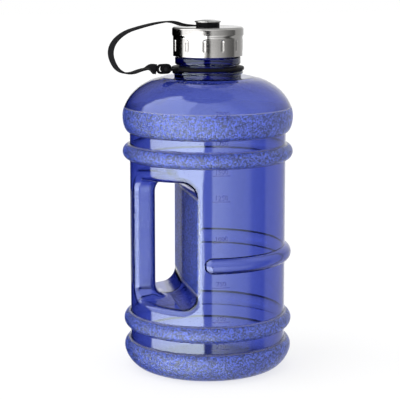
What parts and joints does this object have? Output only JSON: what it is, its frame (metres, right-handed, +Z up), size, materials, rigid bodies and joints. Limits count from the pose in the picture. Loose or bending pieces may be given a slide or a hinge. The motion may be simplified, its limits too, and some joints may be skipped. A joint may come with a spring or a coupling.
{
  "type": "large water jug",
  "caption": "Translucent blue water jug with a hand opening moulded through its side, a steel screw cap, and a strap that ties the cap to a ring round the neck.",
  "frame": {"origin": "centre of the ring that the jug stands on, on the jug's axis", "axes": "+Z up along the jug's axis; the handle is on the -X side; the volume scale faces -Y"},
  "size_m": [0.1497, 0.1352, 0.2779],
  "materials": {
    "blue_clear": "clear tinted plastic, glossy, with grained bands",
    "steel": "polished pressed sheet",
    "rivet_steel": "satin",
    "liner_plastic": "moulded, satin",
    "gasket": "soft, matt",
    "black_rubber": "satin",
    "black_plastic": "glossy",
    "webbing": "close woven band"
  },
  "bodies": {
    "jug": {"bottle": "blue_clear"},
    "tether": {"neck_ring": "black_rubber", "ring_stud": "black_plastic", "strap_lower_eye": "black_rubber", "strap": "webbing"},
    "strap_end": {"strap_upper_eye": "black_rubber"},
    "rivet": {"cap_rivet": "rivet_steel", "rivet_washer": "rivet_steel"},
    "cap": {"cap_shell": "steel", "cap_liner": "liner_plastic", "cap_gasket": "gasket"}
  },
  "joints": [
    {"name": "tether_swing", "type": "hinge", "parent": "jug", "child": "tether", "pos_m": [0, 0, 0.24], "axis": [0, 0, 1], "continuous": true},
    {"name": "eye_lift", "type": "slide", "parent": "tether", "child": "strap_end", "axis": [0, 0, 1], "range_m": [0, 0.02], "deforming": ["strap"]},
    {"name": "cap_lift", "type": "slide", "parent": "jug", "child": "rivet", "axis": [0, 0, 1], "range_m": [0, 0.02]},
    {"name": "cap_turn", "type": "hinge", "parent": "rivet", "child": "cap", "pos_m": [0, 0, 0.2721], "axis": [0, 0, 1], "range_deg": [0, 1440]}
  ],
  "couplings": [
    {"joint": "cap_lift", "follows": "cap_turn", "m_per_rad": 0.00079577},
    {"joint": "eye_lift", "follows": "cap_turn", "m_per_rad": 0.00079577}
  ]
}
